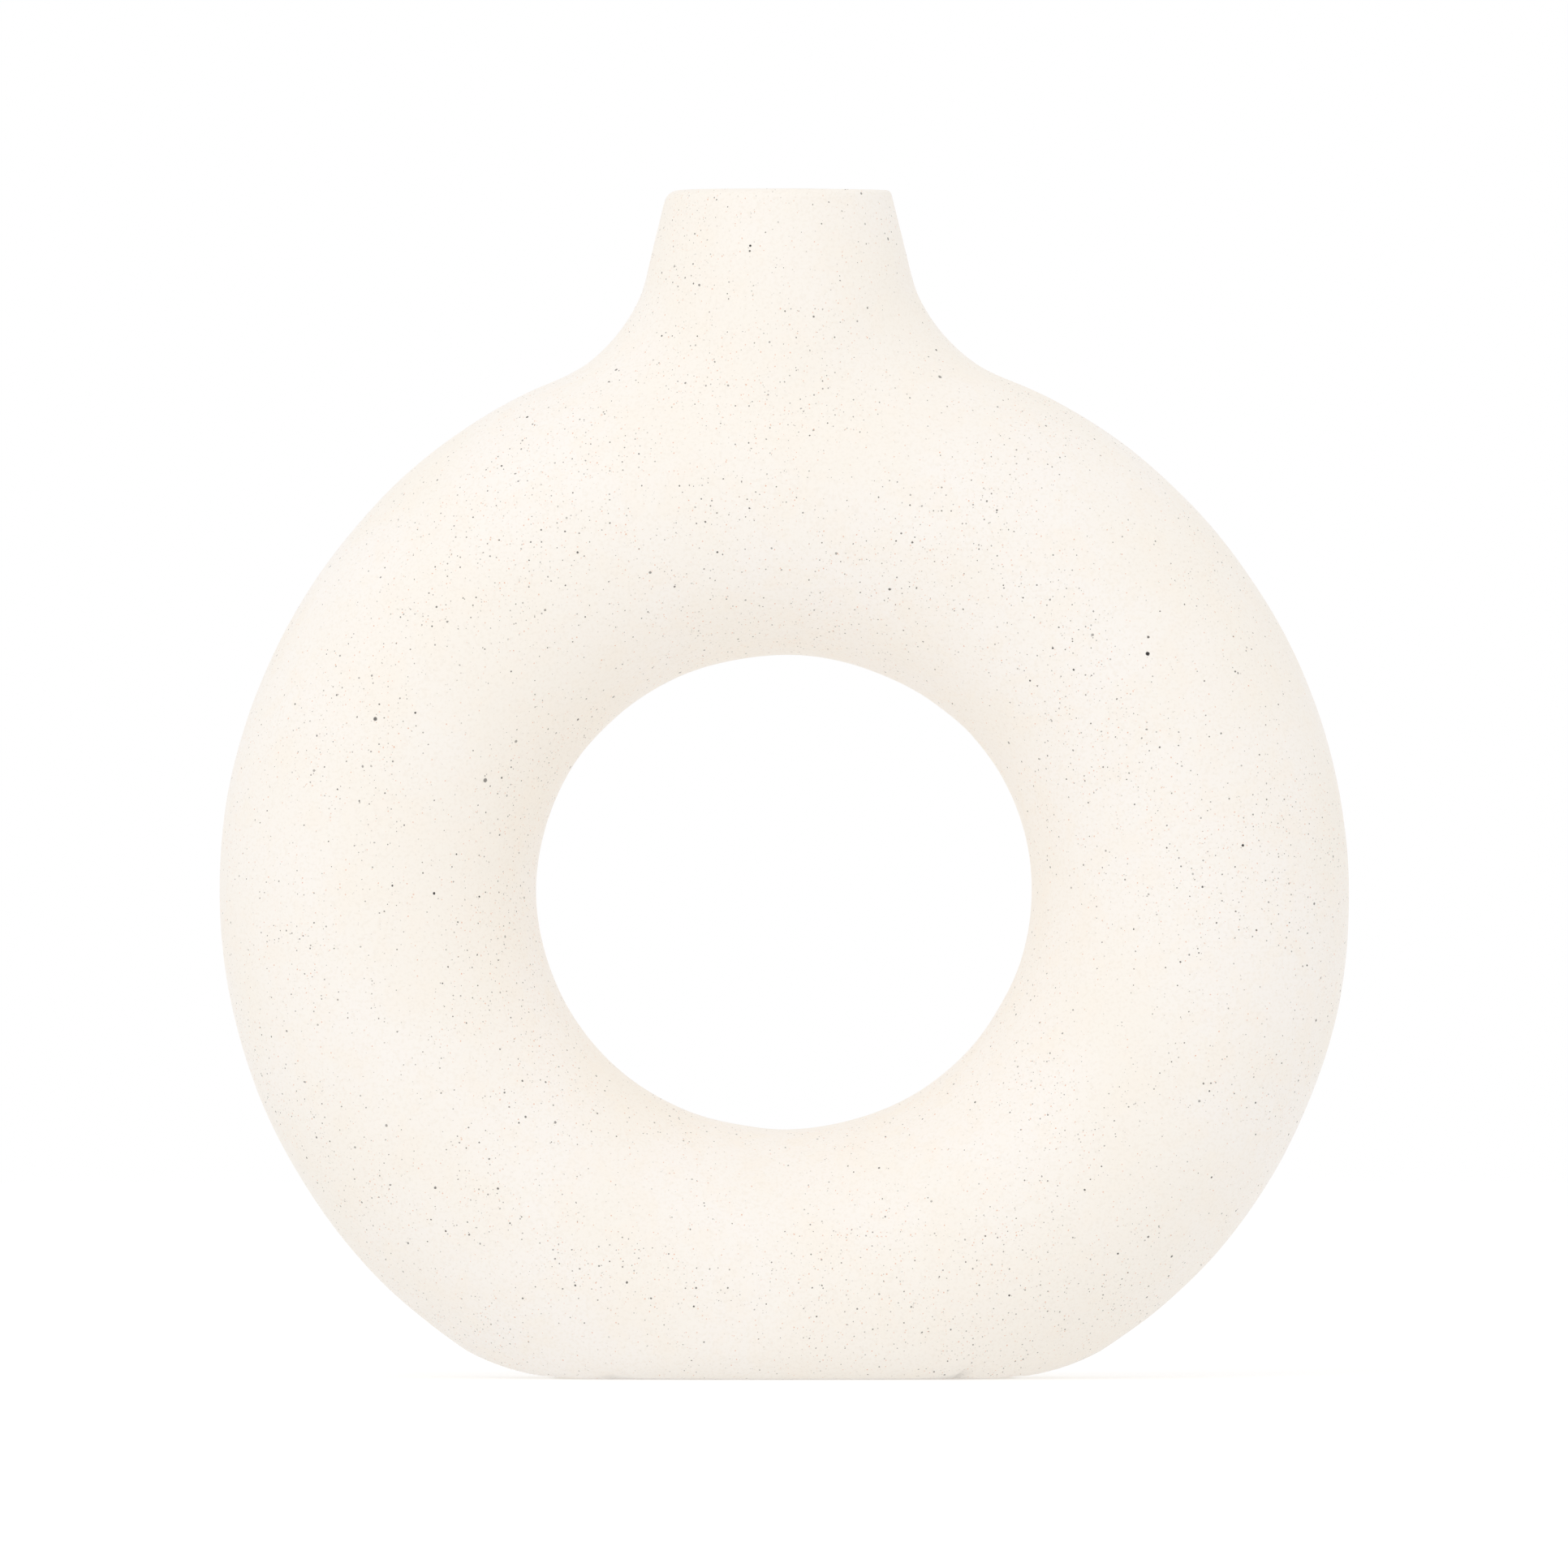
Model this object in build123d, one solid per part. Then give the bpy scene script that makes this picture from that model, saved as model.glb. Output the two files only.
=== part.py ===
from build123d import *
import math
import os

# A ring-shaped flower vase of glazed stoneware: a hollow ring with an open hole through it,
# a short flared neck on top and a small bare foot below.
# Millimetres. x = 0 is the ring's centre, the front faces -y, z = 0 is the surface it stands on.

# The whole vase
total_height = 210.0      # surface to the top of the lip
ring_width = 200.2        # left to right, outside
ring_height = 197.1       # top to bottom, outside, before the foot cuts the bottom off
tube_size = 56.6          # thickness of the round tube that the ring is made of
foot_cut = 12.45          # what the foot face cuts off the bottom of the ring

# The foot
flat_half_length = 35.5   # half of the flat underside, left to right
end_round = 50.0          # how the underside curls up at its left and right ends
end_turn = 30.0           # degrees that this curl is drawn through
foot_round = 10.0         # rounding along the front and back edges of the underside
pad_margin = 1.2          # the bare foot pad lies this far inside the flat underside

# The neck and its mouth
neck_offset = -0.9        # the neck was set a little to the left of the ring's centre
lip_radius = 19.8         # outside of the neck at the lip
neck_taper = 13.7         # degrees that the neck widens downwards, seen from the front
neck_depth_share = 0.92   # depth of the neck's root, as a share of the tube's
neck_blend = 30.0         # hollow radius where the neck flows into the ring
mouth_radius = 15.5       # the open mouth, inside the glaze
mouth_length = 9.0        # how far down the mouth is straight
lip_round_out = 1.8
lip_round_in = 1.3

# The clay wall, its glaze and its joints
wall = 4.5                # thickness of the clay
glaze = 0.4               # how far each coat of glaze stands proud of the clay
bond = 0.05               # hairline between a coat and the clay, so that their curves don't cross
glaze_edge = 0.2          # the outer coat stops this far above the clay's underside
slip = 0.6                # thickness of the slip that lutes two pieces of clay together
saddle_drop = 4.65        # the neck is luted on this far below the top of the ring
overrun = 5.0             # how far cutting shapes run past what they cut

# Worked out from the sizes above
tube_radius = tube_size / 2
path_half_width = ring_width / 2 - tube_radius
path_half_height = ring_height / 2 - tube_radius
ring_centre = ring_height / 2 - foot_cut
ring_top = ring_centre + ring_height / 2
low_tube_centre = ring_centre - path_half_height
high_tube_centre = ring_centre + path_half_height
mouth_bottom = total_height - mouth_length
floor_top = glaze + wall
saddle = ring_top - saddle_drop
reach = ring_width + total_height
to_back = Vector(0, 1, 0)
quarter = 90
full_turn = 360


def ring_form(inset):
    """The ring's tube, inset from the glazed surface, as one closed sweep."""
    path = (Plane.XZ * Pos(0, ring_centre) * Ellipse(path_half_width, path_half_height)).wire()
    inward = (Vector(0, 0, ring_centre) - path @ 0).normalized()
    section = Plane(origin=path @ 0, x_dir=inward + to_back, z_dir=path % 0) * Circle(tube_radius - inset)
    return sweep(section, path=path)


def oval(half_width, half_depth, height):
    """A level oval round the neck's axis, drawn from its back so that its seam lies there."""
    rim = EllipticalCenterArc((0, 0), half_width, half_depth, start_angle=quarter, arc_size=full_turn)
    return Pos(neck_offset, 0, height) * make_face(rim)


def underside_tool(inset):
    """Everything above the flat underside and its curled ends, front to back."""
    flat = flat_half_length
    base = inset
    curl = end_round - inset
    turn = math.radians(end_turn)
    end_x = flat + curl * math.sin(turn)
    end_z = base + curl * (1 - math.cos(turn))
    mid_x = flat + curl * math.sin(turn / 2)
    mid_z = base + curl * (1 - math.cos(turn / 2))
    outline = Curve() + [
        Line((-flat, base), (flat, base)),
        ThreePointArc((flat, base), (mid_x, mid_z), (end_x, end_z)),
        Polyline((end_x, end_z), (reach, end_z), (reach, reach), (-reach, reach),
                 (-reach, end_z), (-end_x, end_z)),
        ThreePointArc((-end_x, end_z), (-mid_x, mid_z), (-flat, base)),
    ]
    return extrude(Plane.XZ * make_face(outline), amount=reach, both=True)


def neck_half_width(height):
    """Half of the neck's width at a height, at the glazed surface."""
    return lip_radius + (total_height - height) * math.tan(math.radians(neck_taper))


def neck_root(inset):
    """The oval section of the neck at the height of the tube's centre, inside the ring."""
    half_width = neck_half_width(high_tube_centre) - inset
    half_depth = tube_radius * neck_depth_share - inset
    return oval(half_width, half_depth, high_tube_centre)


def joined(ring, neck, inset):
    """The ring and the neck as one form, with a hollow blend where they meet."""
    form = ring + neck
    return form.fillet(neck_blend + inset, new_edges(ring, neck, combined=form))


def outside_form(inset):
    """The solid inside the vase's outer surface, inset from the glazed surface."""
    ring = ring_form(inset) & underside_tool(inset)
    underside = [face for face in ring.faces() if face.geom_type != GeomType.BSPLINE]
    edges = [edge for face in underside for edge in face.edges()]
    border = [edge for edge in edges if sum(edge.is_same(other) for other in edges) == 1]
    ring = ring.fillet(foot_round - inset, border)
    lip = oval(lip_radius - inset, lip_radius - inset, total_height - inset)
    neck = loft([neck_root(inset), lip])
    return joined(ring, neck, inset)


def cavity_form(inset, mouth):
    """The space inside the walls: the ring's tunnel and the way up through the neck."""
    ring = cut_between(ring_form(inset), inset, reach)
    neck = loft([neck_root(inset), oval(mouth, mouth, mouth_bottom)])
    opening = Pos(neck_offset, 0, mouth_bottom) * Rot(0, 0, quarter) * Circle(mouth)
    throat = extrude(opening, mouth_length + overrun)
    return joined(ring, neck, inset) + throat


def cut_between(form, low, high, front=-reach, back=reach):
    """What lies between two levels, and between a plane in front and one behind."""
    centre = Pos(0, (front + back) / 2, (low + high) / 2)
    return form & centre * Box(reach * 2, back - front, high - low)


def vase_wall(depth):
    """The vase as a hollow form, with this much taken off its glazed faces, outside and inside."""
    mouth = mouth_radius + depth
    form = outside_form(depth) - cavity_form(glaze + wall + glaze - depth, mouth)
    lip = form.faces().sort_by(Axis.Z)[-1]
    form = form.fillet(lip_round_out - depth, lip.outer_wire().edges())
    return form.fillet(lip_round_in - depth, lip.inner_wires()[0].edges())


def foot_pad():
    """The bare oval that touches the surface, just proud of the glazed underside."""
    centre_depth = math.sqrt((tube_radius - foot_round) ** 2 - (low_tube_centre - foot_round) ** 2)
    pad = Ellipse(flat_half_length - pad_margin, centre_depth - pad_margin)
    return extrude(pad, glaze)


def write(name, piece):
    """Names the piece and writes it as one STEP file."""
    piece.label = name
    export_step(piece, f"parts/{name}.step")
    print(name, "solids", len(piece.solids()), "volume", round(piece.volume, 1))


# The fired clay, and the two coats of glaze that cover it: one outside, turned over the lip,
# and a liner inside
clay = vase_wall(glaze)
coats = vase_wall(0) - vase_wall(glaze - bond)
inner_side = cavity_form(glaze + wall / 2, (mouth_radius + lip_radius) / 2)
inner_side = cut_between(inner_side, 0, mouth_bottom)
inner_glaze = coats & inner_side
outer_glaze = cut_between(coats - inner_side, glaze + glaze_edge, reach)

# The clay, cut where its pieces were luted together
foot_joint = floor_top + slip
saddle_low = saddle - slip / 2
saddle_high = saddle + slip / 2
seam_front = -slip / 2
seam_back = slip / 2
foot_slab = cut_between(clay, 0, floor_top) + foot_pad()
foot_slip = cut_between(clay, floor_top, foot_joint)
front_shell = cut_between(clay, foot_joint, saddle_low, back=seam_front)
back_shell = cut_between(clay, foot_joint, saddle_low, front=seam_back)
seam_slip = cut_between(clay, foot_joint, saddle_low, seam_front, seam_back)
neck_slip = cut_between(clay, saddle_low, saddle_high)
neck = cut_between(clay, saddle_high, reach)

os.makedirs("parts", exist_ok=True)
write("foot_slab", foot_slab)
write("foot_slip", foot_slip)
write("front_shell", front_shell)
write("back_shell", back_shell)
write("seam_slip", seam_slip)
write("neck_slip", neck_slip)
write("neck", neck)
write("inner_glaze", inner_glaze)
write("outer_glaze", outer_glaze)
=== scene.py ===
import math
import bmesh
import bpy
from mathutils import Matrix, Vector, noise
from mathutils.bvhtree import BVHTree


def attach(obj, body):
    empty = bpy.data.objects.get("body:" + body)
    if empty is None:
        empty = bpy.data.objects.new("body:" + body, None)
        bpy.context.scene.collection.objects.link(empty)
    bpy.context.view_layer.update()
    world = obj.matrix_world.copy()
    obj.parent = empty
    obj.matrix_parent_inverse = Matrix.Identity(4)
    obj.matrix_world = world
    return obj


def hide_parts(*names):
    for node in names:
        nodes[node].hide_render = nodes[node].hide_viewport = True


# A ring-shaped flower vase in speckled matt stoneware, standing on its small bare foot.
# Lengths are millimetres until they are written to a mesh, and metres in the room around it.

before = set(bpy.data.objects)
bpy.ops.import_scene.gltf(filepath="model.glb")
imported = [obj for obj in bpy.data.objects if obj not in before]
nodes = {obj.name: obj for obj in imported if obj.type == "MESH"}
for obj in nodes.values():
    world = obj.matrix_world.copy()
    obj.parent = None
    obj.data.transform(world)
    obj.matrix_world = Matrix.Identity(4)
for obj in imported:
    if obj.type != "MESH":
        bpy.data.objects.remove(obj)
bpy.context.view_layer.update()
MM = 0.001
TO_MILLIMETRES = 1 / MM

# The vase's own sizes
RING_WIDE = 200.2
RING_HIGH = 197.1         # before the foot cuts the bottom off
FOOT_CUT = 12.45
TUBE = 28.3               # radius of the tube
RING_Z = RING_HIGH / 2 - FOOT_CUT
PATH_WIDE = RING_WIDE / 2 - TUBE
PATH_HIGH = RING_HIGH / 2 - TUBE
NECK_X = -0.9             # the neck stands a little to the left
TOP = 210.0
LIP = 19.8                # outside of the lip
LIP_ROUND = 1.8
LIP_ROUND_UNEVEN = 0.8    # the lip is rounder on the left than on the right
MOUTH = 15.5              # inside of the mouth
MOUTH_ROUND = 1.3
MOUTH_LOW = 201.0         # where the outside coat of glaze ends in the mouth
TAPER_WIDE = 0.2438       # how fast the neck widens downwards, seen from the front
TAPER_DEEP = 0.1163       # and seen from the side
SKIN = 0.3                # thickness of the outside coat
FOOT_WIDE = 43.2          # half axes of the coat's edge under the foot
FOOT_DEEP = 20.75

# The cage of the outside coat
AROUND_RING = 144
AROUND_TUBE = 48
NECK_TURNS = 7            # faces left out each way from the middle, under the neck
NECK_SIDES = 10
FOOT_TURNS = 9            # and over the bare foot
FOOT_SIDES = 6
NECK_LOW = 180.0          # the neck's own section starts here, above its blend into the ring
BLEND_LOOPS = 4           # loops of points in that blend
NECK_SHARES = (0.0, 0.12, 0.25, 0.38, 0.5, 0.62, 0.74, 0.85, 0.94)
LIP_SHARES = (0.0, 0.25, 0.5, 0.75, 1.0)
MOUTH_SHARES = (0.0, 0.33, 0.67, 1.0)
THROAT_SHARES = (0.3, 0.65, 1.0)
WELD = 0.002              # points of the CAD coat that lie closer than this are one
CAGE_LOW = 0.3            # no point of the cage lies lower before it is fitted to the foot
EDGE_SEARCH_SHARES = (0.8, 1.15)    # of the foot's half axes, between which its edge is sought
EDGE_TRIES = 24           # halvings in that search
BELOW = -5.0              # where the search looks up from
UNDERSIDE_HIGH = 20.0     # what it meets above this is no underside
RELAXED_FOOT = 30.0       # the quads are evened out below this height
RELAXED_NECK = 140.0      # and above this one
RELAXED_LIP = 6.0         # but not so near the top
FITTED_LIP = 7.0          # nor is the finer mesh laid on the glaze so near the top
RELAX_ROUNDS = 120
RELAX_FACTOR = 0.5

# The hand-made unevenness of the outside. A pair is where it sets in and where it is full, or
# where it starts to fade and where it has gone.
DEEPEST = -0.34           # the coat is never moved further in than this, or the clay would show
RING_MOVES_FADE = (168, 186)
NECK_WAIST = 0.5          # the neck is drawn in a little on its left and right
WAIST_STARTS = (173, 182)
WAIST_FADES = (187, 198)
FOOT_START = (0.6, 5)     # nothing is moved at the very edge of the foot but the bead and the run
FOOT_BEAD = 0.3           # the glaze has run together just above the foot, in front and behind
BEAD_FADES = (1.5, 7)
FOOT_RUN = 0.25           # and down over the edge of the bare clay
RUN_FADES = (0.6, 2.5)
FOOT_ENDS = (32, 44)      # both fade out towards the left and right ends of the foot
BROAD_WAVES = 30.0
BROAD_WAVES_HIGH = 0.07
FINE_WAVES = 9.0
FINE_WAVES_HIGH = 0.03
FINE_WAVES_START = Vector((7.0, 3.0, 5.0))

# Moves of the ring outwards, by degrees round it from its right side over the top
OUTSIDE_MOVES = ((0, -0.25), (8, -0.32), (32, -0.33), (45, -0.05), (55, 0.15), (122, 0.27), (130, 0.22),
                 (141, -0.15), (158, -0.33), (170, -0.2), (180, -0.33), (193, -0.32), (203, -0.25),
                 (211, -0.32), (224, -0.15), (232, -0.3), (305, -0.3), (312, 0.05), (320, 0.32),
                 (328, 0.25), (338, 0.08), (346, 0.12))
HOLE_MOVES = ((0, -0.28), (12, -0.33), (26, -0.33), (40, -0.27), (52, 0.05), (68, 0.3), (84, 0.19),
              (100, 0.3), (117, 0.07), (135, -0.06), (148, -0.28), (165, -0.18), (180, -0.33),
              (200, -0.22), (212, -0.28), (232, -0.33), (246, -0.28), (260, -0.07), (270, -0.22),
              (284, -0.12), (302, -0.33), (318, -0.25), (331, -0.1), (343, -0.25))


def turn_of(point):
    """The angle round the ring, from its right side over the top."""
    return math.atan2((point.z - RING_Z) / PATH_HIGH, point.x / PATH_WIDE)


def on_path(turn):
    """The point in the middle of the tube at an angle round the ring."""
    return Vector((PATH_WIDE * math.cos(turn), 0, RING_Z + PATH_HIGH * math.sin(turn)))


def outward(turn):
    """The direction away from the ring's centre at an angle round it."""
    return Vector((math.cos(turn) / PATH_WIDE, 0, math.sin(turn) / PATH_HIGH)).normalized()


def skeleton(point):
    """The nearest point of the line inside the vase: the tube's middle, or the neck's axis."""
    near = on_path(turn_of(point))
    height = max(min(point.z, TOP), RING_Z + PATH_HIGH)
    axis = Vector((NECK_X, 0, height))
    return axis if (point - axis).length < (point - near).length else near


def glazed_surface():
    """The outer faces of the CAD coat as a mesh with smooth corner normals, and its search tree."""
    bm = bmesh.new()
    bm.from_mesh(nodes["outer_glaze"].data)
    bmesh.ops.scale(bm, vec=[TO_MILLIMETRES] * 3, verts=bm.verts[:])
    bmesh.ops.remove_doubles(bm, verts=bm.verts[:], dist=WELD)
    bmesh.ops.triangulate(bm, faces=bm.faces[:])
    bm.normal_update()
    inner = []
    for face in bm.faces:
        middle = face.calc_center_median()
        if face.normal.dot(middle - skeleton(middle)) <= 0:
            inner.append(face)
    bmesh.ops.delete(bm, geom=inner, context="FACES")
    bm.normal_update()
    bm.faces.ensure_lookup_table()
    return bm, BVHTree.FromBMesh(bm)


SURFACE, TREE = glazed_surface()


def snapped(point):
    """The nearest point of the glazed surface, lifted to the curve through the facet's corners."""
    place, normal, index, distance = TREE.find_nearest(point)
    if place is None:
        return point
    corners = SURFACE.faces[index].verts
    sides = [(corners[(i + 1) % 3].co - place).cross(corners[(i + 2) % 3].co - place).length
             for i in range(3)]
    total = sum(sides) or 1
    lifted = Vector((0, 0, 0))
    for side, corner in zip(sides, corners):
        flat = place - corner.normal * (place - corner.co).dot(corner.normal)
        lifted += flat * (side / total)
    return (place + lifted) / 2


def ring_cage():
    """The ring as quads: a circle spun round, with its points moved onto the oval path."""
    bm = bmesh.new()
    bmesh.ops.create_circle(bm, cap_ends=False, radius=TUBE, segments=AROUND_TUBE)
    for vert in bm.verts:
        vert.co = Vector((PATH_WIDE + vert.co.x, vert.co.y, RING_Z))
    bmesh.ops.spin(bm, geom=bm.verts[:] + bm.edges[:], cent=(0, 0, RING_Z), axis=(0, -1, 0),
                   angle=math.tau, steps=AROUND_RING, use_merge=True)
    for vert in bm.verts:
        turn = math.atan2(vert.co.z - RING_Z, vert.co.x)
        out = math.hypot(vert.co.z - RING_Z, vert.co.x) - PATH_WIDE
        vert.co = on_path(turn) + outward(turn) * out + Vector((0, vert.co.y, 0))
    bmesh.ops.recalc_face_normals(bm, faces=bm.faces[:])
    return bm


def open_patch(bm, middle_turn, turns, sides):
    """Leaves out the faces round one place on the outside of the ring, and gives the new border."""
    turn_step = math.tau / AROUND_RING
    side_step = math.tau / AROUND_TUBE
    gone = []
    for face in bm.faces:
        middle = face.calc_center_median()
        turn = math.atan2(middle.z - RING_Z, middle.x)
        away = abs((turn - middle_turn + math.pi) % math.tau - math.pi)
        out = (middle - on_path(turn_of(middle))).dot(outward(turn_of(middle)))
        side = abs(math.atan2(middle.y, out))
        if away < turns * turn_step and side < sides * side_step:
            gone.append(face)
    before = set(edge for edge in bm.edges if edge.is_boundary)
    bmesh.ops.delete(bm, geom=gone, context="FACES")
    return [edge for edge in bm.edges if edge.is_boundary and edge not in before]


def loop_order(edges, centre):
    """The points of a closed loop in turn, from the one straight to the right of its centre."""
    links = {}
    for edge in edges:
        for vert in edge.verts:
            links.setdefault(vert, []).append(edge.other_vert(vert))
    start = min(links, key=lambda vert: abs(math.atan2(vert.co.y, vert.co.x - centre)))
    after = max(links[start], key=lambda vert: vert.co.y)
    order = [start]
    while after is not start:
        order.append(after)
        after = next(vert for vert in links[order[-1]] if vert is not order[-2])
    return order


def neck_section(angle):
    """Radii and heights of the neck at an angle round its axis, up over the lip and down."""
    spread = math.hypot(TAPER_WIDE * math.cos(angle), TAPER_DEEP * math.sin(angle))
    lean = math.atan(spread)
    rounding = LIP_ROUND - LIP_ROUND_UNEVEN * math.cos(angle)
    centre = LIP + rounding * (math.sin(lean) - 1) / math.cos(lean)
    points = []
    for share in NECK_SHARES:
        height = NECK_LOW + (TOP - rounding - NECK_LOW) * share
        points.append((LIP + (TOP - height) * spread, height))
    for share in LIP_SHARES:
        tilt = lean + (math.pi / 2 - lean) * share
        points.append((centre + rounding * math.cos(tilt), TOP - rounding + rounding * math.sin(tilt)))
    points.append(((centre + MOUTH + MOUTH_ROUND) / 2, TOP))
    for share in MOUTH_SHARES:
        tilt = math.pi / 2 * (1 + share)
        points.append((MOUTH + MOUTH_ROUND + MOUTH_ROUND * math.cos(tilt),
                       TOP - MOUTH_ROUND + MOUTH_ROUND * math.sin(tilt)))
    for share in THROAT_SHARES:
        points.append((MOUTH, TOP - MOUTH_ROUND + (MOUTH_LOW - TOP + MOUTH_ROUND) * share))
    return points


def neck_track(start, angle):
    """The places that a point of the opening's border passes on its way up the neck."""
    section = [Vector((NECK_X + radius * math.cos(angle), radius * math.sin(angle), height))
               for radius, height in neck_section(angle)]
    blend = [start.lerp(section[0], step / (BLEND_LOOPS + 1)) for step in range(1, BLEND_LOOPS + 1)]
    return blend + section


def extruded(bm, border, loop):
    """The new border and loop of points after one extrusion, with the points in the old order."""
    made = bmesh.ops.extrude_edge_only(bm, edges=border)["geom"]
    new_border = [item for item in made if isinstance(item, bmesh.types.BMEdge) and item.is_boundary]
    fresh = set(made)
    new_loop = [next(edge.other_vert(vert) for edge in vert.link_edges if edge.other_vert(vert) in fresh)
                for vert in loop]
    return new_border, new_loop


def add_neck(bm, border):
    """Raises the neck from its opening in the ring, loop by loop."""
    loop = loop_order(border, NECK_X)
    tracks = [neck_track(vert.co.copy(), math.tau * index / len(loop)) for index, vert in enumerate(loop)]
    for places in zip(*tracks):
        border, loop = extruded(bm, border, loop)
        for vert, place in zip(loop, places):
            vert.co = place


def foot_edge(angle):
    """Where the outside coat ends under the foot, at an angle seen from above."""
    reach = 1 / math.hypot(math.cos(angle) / FOOT_WIDE, math.sin(angle) / FOOT_DEEP)
    inside, outside = [reach * share for share in EDGE_SEARCH_SHARES]
    direction = Vector((math.cos(angle), math.sin(angle), 0))
    for _ in range(EDGE_TRIES):
        middle = (inside + outside) / 2
        hit = TREE.ray_cast(direction * middle + Vector((0, 0, BELOW)), Vector((0, 0, 1)))[0]
        if hit is not None and hit.z < UNDERSIDE_HIGH:
            outside = middle
        else:
            inside = middle
    return snapped(direction * outside)


def fit_foot(border):
    """Lays the opening's border along the coat's edge under the foot."""
    for vert in loop_order(border, 0):
        angle = math.atan2(vert.co.y / FOOT_DEEP, vert.co.x / FOOT_WIDE)
        vert.co = foot_edge(math.atan2(FOOT_DEEP * math.sin(angle), FOOT_WIDE * math.cos(angle)))


def relax(bm):
    """Evens out the quads round the neck and the foot, keeping them on the glazed surface."""
    free = [vert for vert in bm.verts if not vert.is_boundary
            and (vert.co.z < RELAXED_FOOT or RELAXED_NECK < vert.co.z < TOP - RELAXED_LIP)]
    for _ in range(RELAX_ROUNDS):
        bmesh.ops.smooth_vert(bm, verts=free, factor=RELAX_FACTOR, use_axis_x=True, use_axis_y=True,
                              use_axis_z=True)
        for vert in free:
            vert.co = snapped(vert.co)


def coat_cage():
    """The outside coat's visible face as one mesh of even quads on the glazed surface."""
    bm = ring_cage()
    neck_border = open_patch(bm, math.pi / 2, NECK_TURNS, NECK_SIDES)
    foot_border = open_patch(bm, -math.pi / 2, FOOT_TURNS, FOOT_SIDES)
    for vert in bm.verts:
        vert.co.z = max(vert.co.z, CAGE_LOW)
    fit_foot(foot_border)
    add_neck(bm, neck_border)
    relax(bm)
    bmesh.ops.recalc_face_normals(bm, faces=bm.faces[:])
    return bm


def subdivided(bm):
    """The cage with each quad split in four and rounded."""
    mesh = bpy.data.meshes.new("cage")
    bm.to_mesh(mesh)
    bm.free()
    cage = bpy.data.objects.new("cage", mesh)
    bpy.context.scene.collection.objects.link(cage)
    finer = cage.modifiers.new("finer", "SUBSURF")
    finer.levels = 1
    graph = bpy.context.evaluated_depsgraph_get()
    smooth = bpy.data.meshes.new_from_object(cage.evaluated_get(graph))
    fine = bmesh.new()
    fine.from_mesh(smooth)
    bpy.data.objects.remove(cage)
    bpy.data.meshes.remove(mesh)
    bpy.data.meshes.remove(smooth)
    return fine


def eased(value, low, high):
    """0 below low and 1 above high, with a smooth rise between."""
    share = max(0.0, min(1.0, (value - low) / (high - low)))
    return share * share * (3 - 2 * share)


def move_at(moves, degrees):
    """The move at an angle, eased between the two entries of a closed table that it lies between."""
    degrees %= 360
    first_degrees, first_move = moves[0]
    ends = moves + ((first_degrees + 360, first_move),)
    for (low, before), (high, after) in zip(ends, ends[1:]):
        if degrees <= high:
            return before + (after - before) * eased(degrees, low, high)


def at_foot(point, fades):
    """1 along the front and back edges of the foot, fading out upwards and at its two ends."""
    return (1 - eased(point.z, *fades)) * (1 - eased(abs(point.x), *FOOT_ENDS))


def unevenness(point):
    """How far the outside stands out at a point, by the potter's hand and the glaze's run."""
    turn = turn_of(point)
    out = (point - on_path(turn)).dot(outward(turn)) / TUBE
    move = move_at(OUTSIDE_MOVES, math.degrees(turn)) * max(0.0, out) ** 2
    move += move_at(HOLE_MOVES, math.degrees(turn)) * max(0.0, -out) ** 2
    move *= 1 - eased(point.z, *RING_MOVES_FADE)
    sideways = abs(point.x - NECK_X) / math.hypot(point.x - NECK_X, point.y)
    waist = eased(point.z, *WAIST_STARTS) * (1 - eased(point.z, *WAIST_FADES))
    move -= NECK_WAIST * sideways ** 2 * waist
    move += BROAD_WAVES_HIGH * noise.noise(point / BROAD_WAVES)
    move += FINE_WAVES_HIGH * noise.noise(point / FINE_WAVES + FINE_WAVES_START)
    return max(move, DEEPEST) * eased(point.z, *FOOT_START) + FOOT_BEAD * at_foot(point, BEAD_FADES)


def coat_skin():
    """The outside coat: the finer mesh on the glazed surface, made uneven, as a closed skin."""
    bm = subdivided(coat_cage())
    for vert in bm.verts:
        if vert.co.z < TOP - FITTED_LIP and not vert.is_boundary:
            vert.co = snapped(vert.co)
    bm.normal_update()
    moves = {vert: vert.normal * unevenness(vert.co) for vert in bm.verts}
    for vert, move in moves.items():
        vert.co += move
        vert.co.z -= FOOT_RUN * at_foot(vert.co, RUN_FADES)
    bm.normal_update()
    bmesh.ops.solidify(bm, geom=bm.faces[:], thickness=SKIN)
    bmesh.ops.recalc_face_normals(bm, faces=bm.faces[:])
    return bm


def placed(name, bm):
    """Writes a mesh to a new object of the scene."""
    mesh = bpy.data.meshes.new(name)
    bm.to_mesh(mesh)
    bm.free()
    made = bpy.data.objects.new(name, mesh)
    bpy.context.scene.collection.objects.link(made)
    return made


skin = coat_skin()
bmesh.ops.scale(skin, vec=[MM] * 3, verts=skin.verts[:])
coat = placed("glaze_coat", skin)
coat.data.shade_smooth()
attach(coat, "root")
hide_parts("outer_glaze")
SURFACE.free()

# The sockets of a Mix node that take its factor and two colours, and the one that gives their mixture
FACTOR = 0
UNDER_COLOUR = 6
OVER_COLOUR = 7
MIXED_COLOUR = 2

# Specks in the glaze: radius of the smallest as a share of the largest, how far in the solid core
# reaches and how far out the soft edge, as shares of the radius, and the faintest one's strength
SMALLEST_SHARE = 0.45
CORE_SHARE = 0.7
EDGE_SHARE = 1.15
FAINTEST_SHARE = 0.45

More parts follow.
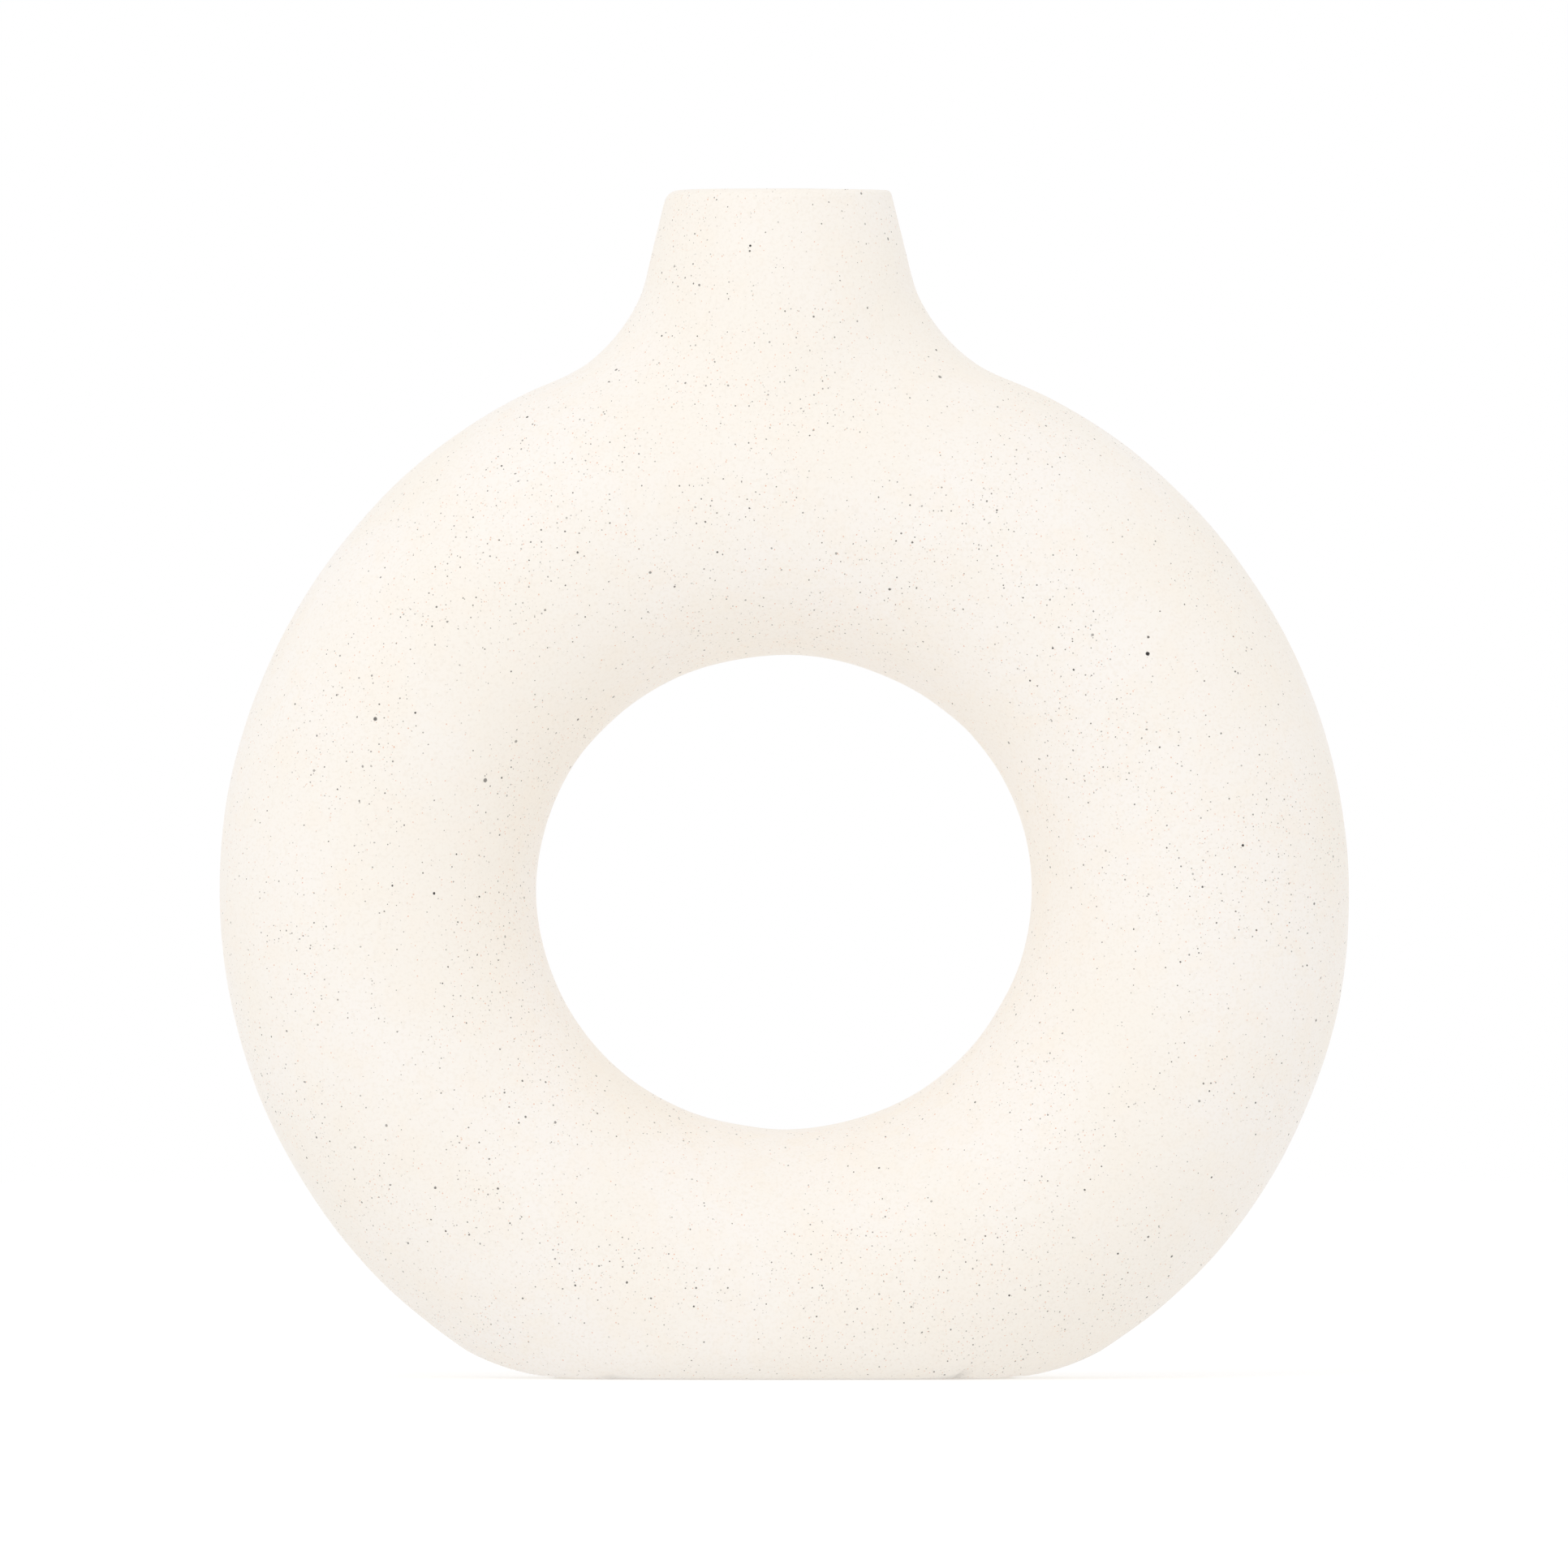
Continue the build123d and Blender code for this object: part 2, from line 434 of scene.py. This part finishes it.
# The outer glaze's specks, the smallest kind first: size of the cells that hold one each and radius,
# both in millimetres, share of cells with one where they are sparse and where they crowd, colour
# and strength
GLAZE_SPECKS = (
    (0.75, 0.14, 0.3, 0.95, "#CFC7BE", 0.9),
    (0.85, 0.15, 0.25, 0.95, "#E5B091", 0.9),
    (1.1, 0.16, 0.2, 1.0, "#5A534D", 1.0),
    (1.9, 0.21, 0.1, 1.0, "#3C3834", 1.0),
    (4.2, 0.28, 0.35, 0.95, "#221F1D", 1.0),
    (9.0, 0.42, 0.4, 0.9, "#181615", 1.0),
)
KINDS_APART = 0.37        # metres from where one kind of speck reads its pattern to the next kind
FIRST_KIND_AT = 0.11

# Relief, in millimetres
GLAZE_RIPPLE = 5.0        # the outer glaze's slow ripple
GLAZE_TOOTH = 0.6         # and its fine tooth
TOOTH_SHARE = 0.3         # height of the tooth, as a share of the ripple's
GLAZE_RELIEF = 0.05
LINER_WAVES = 4.0
LINER_RELIEF = 0.06
CLAY_RELIEF = 0.08


def linear(code):
    """A colour written as #rrggbb, as the linear values that a shader takes."""
    shares = [int(code[at:at + 2], 16) / 255 for at in (1, 3, 5)]
    return [s / 12.92 if s <= 0.04045 else ((s + 0.055) / 1.055) ** 2.4 for s in shares] + [1.0]


def add(tree, kind, inputs=None, **settings):
    """Adds a shader node. An input given as a node or a socket is linked, any other value is set."""
    node = tree.nodes.new("ShaderNode" + kind)
    for name, value in settings.items():
        setattr(node, name, value)
    for name, value in (inputs or {}).items():
        if isinstance(value, bpy.types.Node):
            value = value.outputs[0]
        if isinstance(value, bpy.types.NodeSocket):
            tree.links.new(value, node.inputs[name])
        else:
            node.inputs[name].default_value = value
    return node


def new_material(name, finish):
    """A material with one Principled shader, and its tree and object coordinates."""
    material = bpy.data.materials.new(name)
    material.use_nodes = True
    tree = material.node_tree
    tree.nodes.clear()
    shader = add(tree, "BsdfPrincipled", finish)
    add(tree, "OutputMaterial", {"Surface": shader})
    coords = add(tree, "TexCoord").outputs["Object"]
    return material, tree, shader, coords


def patches(tree, coords, size, low, high, least=0.0, most=1.0, detail=3.0, roughness=0.5):
    """Soft patches of about this size in millimetres, from the least value to the most."""
    cloud = add(tree, "TexNoise", {"Vector": coords, "Scale": 1 / (size * MM), "Detail": detail,
                                   "Roughness": roughness})
    limits = {"Value": cloud, "From Min": low, "From Max": high, "To Min": least, "To Max": most}
    return add(tree, "MapRange", limits, interpolation_type="SMOOTHSTEP")


def mottled(tree, coords, under, over, **patch):
    """A colour with soft patches of another in it."""
    colours = {FACTOR: patches(tree, coords, **patch), UNDER_COLOUR: under, OVER_COLOUR: linear(over)}
    return add(tree, "Mix", colours, data_type="RGBA").outputs[MIXED_COLOUR]


def speckled(tree, coords, under, over, cell, size, density, strength=1.0):
    """A colour with specks of another: one at most in each cell, up to this radius, some left out."""
    cells = add(tree, "TexVoronoi", {"Vector": coords, "Scale": 1 / (cell * MM)})
    chance = add(tree, "SeparateColor", {"Color": cells.outputs["Color"]}).outputs
    largest = size / cell
    radii = {"Value": chance[0], "To Min": SMALLEST_SHARE * largest, "To Max": largest}
    radius = add(tree, "MapRange", radii)
    core = add(tree, "Math", {0: radius, 1: CORE_SHARE}, operation="MULTIPLY")
    edge = add(tree, "Math", {0: radius, 1: EDGE_SHARE}, operation="MULTIPLY")
    fall = {"Value": cells.outputs["Distance"], "From Min": core, "From Max": edge, "To Min": 1, "To Max": 0}
    speck = add(tree, "MapRange", fall, interpolation_type="SMOOTHSTEP")
    kept = add(tree, "Math", {0: chance[1], 1: density}, operation="LESS_THAN")
    drawn = add(tree, "Math", {0: speck, 1: kept}, operation="MULTIPLY")
    strengths = {"Value": chance[2], "To Min": FAINTEST_SHARE * strength, "To Max": strength}
    burnt = add(tree, "MapRange", strengths)
    factor = add(tree, "Math", {0: drawn, 1: burnt}, operation="MULTIPLY")
    colours = {FACTOR: factor, UNDER_COLOUR: under, OVER_COLOUR: linear(over)}
    return add(tree, "Mix", colours, data_type="RGBA").outputs[MIXED_COLOUR]


def ragged(tree, coords, size, amount):
    """Coordinates shaken a little, so that round specks come out irregular."""
    shake = add(tree, "TexNoise", {"Vector": coords, "Scale": 1 / (size * MM), "Detail": 1.0})
    centred = add(tree, "VectorMath", {0: shake.outputs["Color"], 1: [0.5] * 3}, operation="SUBTRACT")
    scaled = add(tree, "VectorMath", {0: centred, "Scale": amount * MM}, operation="SCALE")
    return add(tree, "VectorMath", {0: coords, 1: scaled}, operation="ADD").outputs[0]


def matt_speckled_glaze():
    """The outside: a cream matt glaze through which the clay's iron specks have burnt.

    It gives the eye a dry, nearly even cream with slow changes of tone, a fine grain, and specks
    from a grey and peach haze to a few nearly black ones, crowded in some places.
    """
    finish = {"Roughness": 0.6, "Sheen Weight": 0.2, "Sheen Roughness": 0.25}
    material, tree, shader, coords = new_material("matt_speckled_glaze", finish)
    cream = linear("#FBF6F0")
    colour = mottled(tree, coords, cream, "#FAF4EB", size=34.0, low=0.35, high=0.65)
    colour = mottled(tree, coords, colour, "#FBF3E8", size=6.0, low=0.45, high=0.7, most=0.5, roughness=0.6)
    colour = mottled(tree, coords, colour, "#F2EADF", size=0.5, low=0.45, high=0.75, most=0.45, detail=1.0)
    crowding = patches(tree, coords, size=26.0, low=0.37, high=0.63)
    loose = ragged(tree, coords, size=0.35, amount=0.14)
    for kind, (cell, size, sparse, crowded, shade, strength) in enumerate(GLAZE_SPECKS):
        shift = [FIRST_KIND_AT + kind * KINDS_APART] * 3
        own = add(tree, "VectorMath", {0: loose, 1: shift}, operation="ADD")
        density = add(tree, "MapRange", {"Value": crowding, "To Min": sparse, "To Max": crowded})
        colour = speckled(tree, own, colour, shade, cell, size, density, strength)
    tree.links.new(colour, shader.inputs["Base Color"])
    dryness = patches(tree, coords, size=2.2, low=0.3, high=0.7, least=0.55, most=0.68, detail=2.0)
    tree.links.new(dryness.outputs[0], shader.inputs["Roughness"])
    ripple = add(tree, "TexNoise", {"Vector": coords, "Scale": 1 / (GLAZE_RIPPLE * MM), "Detail": 2.0})
    tooth = add(tree, "TexNoise", {"Vector": coords, "Scale": 1 / (GLAZE_TOOTH * MM), "Detail": 2.0})
    height = add(tree, "Math", {0: tooth, 1: TOOTH_SHARE, 2: ripple}, operation="MULTIPLY_ADD")
    bump = add(tree, "Bump", {"Height": height, "Distance": GLAZE_RELIEF * MM, "Strength": 0.6})
    tree.links.new(bump.outputs[0], shader.inputs["Normal"])
    return material


def poured_liner_glaze():
    """The inside: the same glaze poured thin, so it is smoother, glossier and a little darker."""
    material, tree, shader, coords = new_material("poured_liner_glaze", {"Roughness": 0.22})
    colour = mottled(tree, coords, linear("#EFE7DA"), "#E9DFCF", size=18.0, low=0.35, high=0.65)
    loose = ragged(tree, coords, size=0.5, amount=0.35)
    colour = speckled(tree, loose, colour, "#8A8178", cell=3.0, size=0.3, density=0.4)
    tree.links.new(colour, shader.inputs["Base Color"])
    waves = add(tree, "TexNoise", {"Vector": coords, "Scale": 1 / (LINER_WAVES * MM), "Detail": 2.0})
    bump = add(tree, "Bump", {"Height": waves, "Distance": LINER_RELIEF * MM, "Strength": 0.5})
    tree.links.new(bump.outputs[0], shader.inputs["Normal"])
    return material


def bare_stoneware(name, buff, darker_buff, grain):
    """Fired clay without glaze: buff and sandy, with iron specks and a dry tooth."""
    material, tree, shader, coords = new_material(name, {"Roughness": 0.85})
    colour = mottled(tree, coords, linear(buff), darker_buff, size=11.0, low=0.35, high=0.65, detail=4.0)
    colour = mottled(tree, coords, colour, "#C4B59D", size=grain, low=0.5, high=0.75, most=0.5, roughness=0.7)
    loose = ragged(tree, coords, size=0.5, amount=0.35)
    colour = speckled(tree, loose, colour, "#8A7765", cell=1.8, size=0.32, density=0.5)
    tree.links.new(colour, shader.inputs["Base Color"])
    sand = {"Vector": coords, "Scale": 1 / (grain * MM), "Detail": 3.0, "Roughness": 0.7}
    height = add(tree, "TexNoise", sand)
    bump = add(tree, "Bump", {"Height": height, "Distance": CLAY_RELIEF * MM, "Strength": 0.8})
    tree.links.new(bump.outputs[0], shader.inputs["Normal"])
    return material


def dress(names, material):
    """Gives CAD nodes their real material."""
    for name in names:
        slots = nodes[name].data.materials
        slots.clear()
        slots.append(material)


coat.data.materials.append(matt_speckled_glaze())
dress(("foot_slab", "front_shell", "back_shell", "neck"),
      bare_stoneware("bare_stoneware", "#E6DCCB", "#DDD1BD", 0.5))
dress(("foot_slip", "seam_slip", "neck_slip"), bare_stoneware("fired_slip", "#DCD0BC", "#D5C8B2", 0.25))
dress(("inner_glaze",), poured_liner_glaze())

# The room around the vase, in metres
AMBIENT = 0.915           # strength of the soft white room
DAYLIGHT = (1.0, 0.996, 0.991)
WHITE = (1, 1, 1, 1)
FLOOR_HALF = 3.0
FLOOR_SQUARES = 8
FLOOR_GLOW = 0.63         # the pale floor is lit from within, as a photographer's table is
FLOOR_OWN = 0.37          # it glows less to the camera
FLOOR_TO_LIGHT = 0.3      # but is paler to it
FLOOR_TO_CAMERA = 0.7
LAMP_SIZE = 1.6
LAMP_POWER = 8.7          # watts
LAMP_PLACE = Vector((-0.85, -1.9, 1.6))
LAMP_AIM = Vector((0, 0, 0.1))
CAMERA_PLACE = (0, -6.16, 0.105)
CAMERA_REACH = 100
SENSOR_WIDE = 36          # of the camera's sensor, and its lens, in millimetres
LENS = 800


def seen_directly(tree):
    """1 for rays from the camera, or by way of gloss or glass, and 0 for light that falls."""
    path = add(tree, "LightPath").outputs
    seen = {0: path["Is Camera Ray"], 1: path["Is Glossy Ray"]}
    seen = {0: add(tree, "Math", seen, operation="MAXIMUM"), 1: path["Is Transmission Ray"]}
    return add(tree, "Math", seen, operation="MAXIMUM")


def white_room():
    """Soft daylight from all round, which is pure white where it is seen."""
    world = bpy.data.worlds.new("white_room")
    bpy.context.scene.world = world
    world.use_nodes = True
    tree = world.node_tree
    tree.nodes.clear()
    seen = seen_directly(tree)
    strength = add(tree, "MapRange", {"Value": seen, "To Min": AMBIENT, "To Max": 1})
    colours = {FACTOR: seen, UNDER_COLOUR: DAYLIGHT + (1,), OVER_COLOUR: WHITE}
    colour = add(tree, "Mix", colours, data_type="RGBA").outputs[MIXED_COLOUR]
    room = add(tree, "Background", {"Color": colour, "Strength": strength})
    add(tree, "OutputWorld", {"Surface": room})


def pale_floor():
    """A pale table that glows a little and still takes the vase's shadow."""
    bm = bmesh.new()
    bmesh.ops.create_grid(bm, x_segments=FLOOR_SQUARES, y_segments=FLOOR_SQUARES, size=FLOOR_HALF)
    floor = placed("floor", bm)
    material = bpy.data.materials.new("pale_floor")
    material.use_nodes = True
    tree = material.node_tree
    tree.nodes.clear()
    seen = seen_directly(tree)
    paleness = {"Value": seen, "To Min": FLOOR_TO_LIGHT, "To Max": FLOOR_TO_CAMERA}
    matt = add(tree, "BsdfDiffuse", {"Color": add(tree, "MapRange", paleness)})
    strength = {"Value": seen, "To Min": FLOOR_GLOW, "To Max": FLOOR_OWN}
    glow = add(tree, "Emission", {"Color": WHITE, "Strength": add(tree, "MapRange", strength)})
    add(tree, "OutputMaterial", {"Surface": add(tree, "AddShader", {0: matt, 1: glow})})
    floor.data.materials.append(material)


def soft_key():
    """One large soft lamp in front, at the upper left."""
    lamp = bpy.data.lights.new("soft_key", "AREA")
    lamp.shape = "SQUARE"
    lamp.size = LAMP_SIZE
    lamp.energy = LAMP_POWER
    lamp.color = DAYLIGHT
    key = bpy.data.objects.new("soft_key", lamp)
    key.location = LAMP_PLACE
    key.rotation_euler = (LAMP_AIM - LAMP_PLACE).to_track_quat("-Z", "Y").to_euler()
    bpy.context.scene.collection.objects.link(key)


def photo_camera():
    """A long lens straight in front, level with the middle of the vase."""
    camera = bpy.data.objects.new("camera", bpy.data.cameras.new("camera"))
    camera.data.sensor_width = SENSOR_WIDE
    camera.data.lens = LENS
    camera.data.clip_end = CAMERA_REACH
    camera.location = CAMERA_PLACE
    camera.rotation_euler = (math.pi / 2, 0, 0)
    bpy.context.scene.collection.objects.link(camera)
    bpy.context.scene.camera = camera


white_room()
pale_floor()
soft_key()
photo_camera()
bpy.context.scene.view_settings.view_transform = "Standard"
